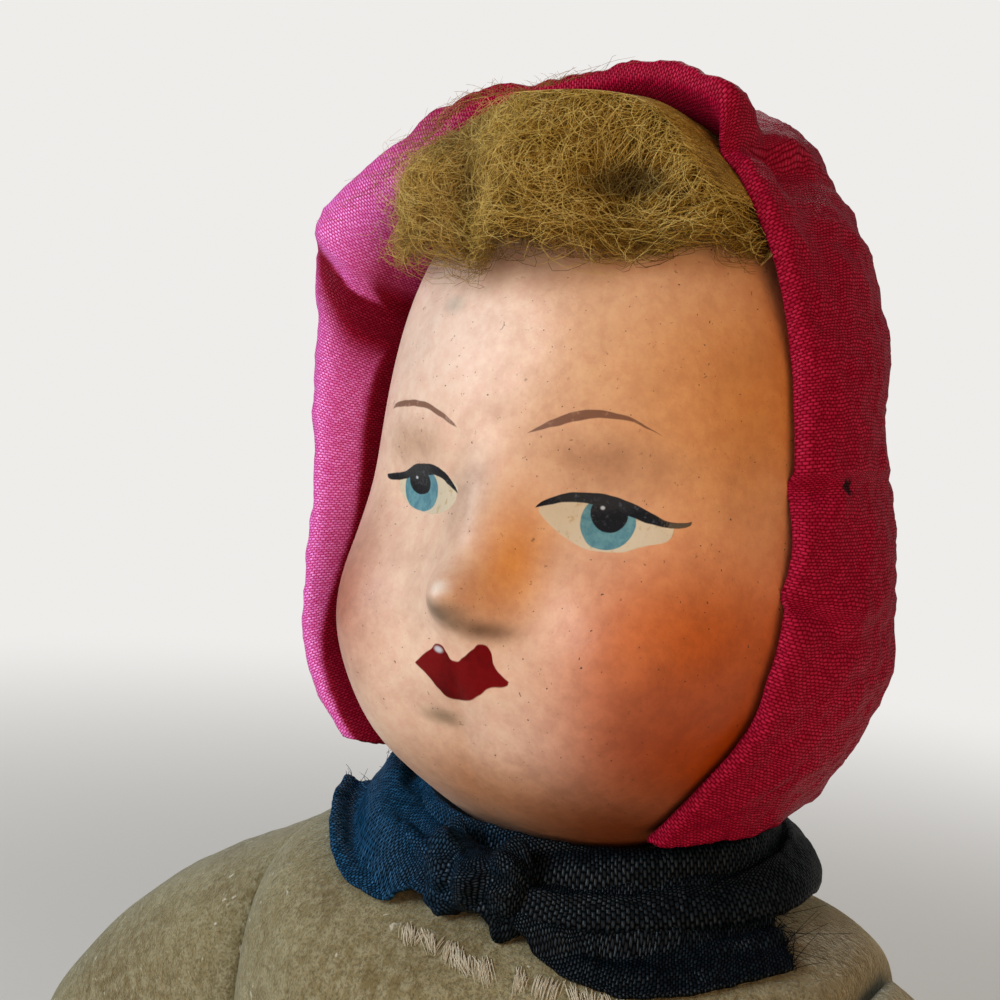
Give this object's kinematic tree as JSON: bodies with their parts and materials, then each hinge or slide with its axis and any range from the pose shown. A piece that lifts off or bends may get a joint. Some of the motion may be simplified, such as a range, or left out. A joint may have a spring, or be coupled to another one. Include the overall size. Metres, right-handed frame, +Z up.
{
  "type": "cloth doll",
  "caption": "Seated cloth doll with a moulded painted mask face, mohair fringe, sateen hood, ribbon scarf and a velveteen body with jointed arms, legs and head.",
  "frame": {"origin": "middle of the flat seat, on the surface that the doll sits on", "axes": "+Z up, the doll faces -Y, its left side is +X"},
  "size_m": [0.2036, 0.178, 0.2174],
  "materials": {
    "painted_mask": "hand-painted satin",
    "calico": "plain weave",
    "mohair": "curly pile",
    "sateen": "twill with sheen",
    "velveteen": "worn nap",
    "ribbon": "coarse weave",
    "stuffing": "loose fibre",
    "card": "pressed card",
    "steel": "plain wire"
  },
  "bodies": {
    "torso": {"torso_skin": "velveteen", "torso_stuffing": "stuffing", "scarf_band": "ribbon", "scarf_knot": "ribbon", "scarf_tail_left": "ribbon", "scarf_tail_right": "ribbon", "neck_disc_lower": "card", "neck_pin": "steel", "shoulder_disc_inner_left": "card", "shoulder_disc_inner_right": "card", "shoulder_pin_left": "steel", "shoulder_pin_right": "steel", "hip_disc_inner_left": "card", "hip_disc_inner_right": "card", "hip_pin_left": "steel", "hip_pin_right": "steel"},
    "head": {"face_mask": "painted_mask", "head_back": "calico", "head_stuffing": "stuffing", "mohair_fringe": "mohair", "hood": "sateen", "neck_disc_upper": "card"},
    "arm_left": {"arm_skin_left": "velveteen", "arm_stuffing_left": "stuffing", "shoulder_disc_outer_left": "card"},
    "leg_left": {"leg_skin_left": "velveteen", "leg_stuffing_left": "stuffing", "hip_disc_outer_left": "card", "sole_card_left": "card"},
    "arm_right": {"arm_skin_right": "velveteen", "arm_stuffing_right": "stuffing", "shoulder_disc_outer_right": "card"},
    "leg_right": {"leg_skin_right": "velveteen", "leg_stuffing_right": "stuffing", "hip_disc_outer_right": "card", "sole_card_right": "card"}
  },
  "joints": [
    {"name": "neck_turn", "type": "hinge", "parent": "torso", "child": "head", "pos_m": [0, 0.004, 0.135], "axis": [0, 0, 1], "range_deg": [-80, 80]},
    {"name": "shoulder_left", "type": "hinge", "parent": "torso", "child": "arm_left", "pos_m": [0.036, 0, 0.1086], "axis": [1, 0, 0], "range_deg": [-150, 45]},
    {"name": "shoulder_right", "type": "hinge", "parent": "torso", "child": "arm_right", "pos_m": [-0.036, 0, 0.1086], "axis": [1, 0, 0], "range_deg": [-150, 45]},
    {"name": "hip_left", "type": "hinge", "parent": "torso", "child": "leg_left", "pos_m": [0.036, 0, 0.0216], "axis": [1, 0, 0], "range_deg": [-20, 90]},
    {"name": "hip_right", "type": "hinge", "parent": "torso", "child": "leg_right", "pos_m": [-0.036, 0, 0.0216], "axis": [1, 0, 0], "range_deg": [-20, 90]}
  ]
}
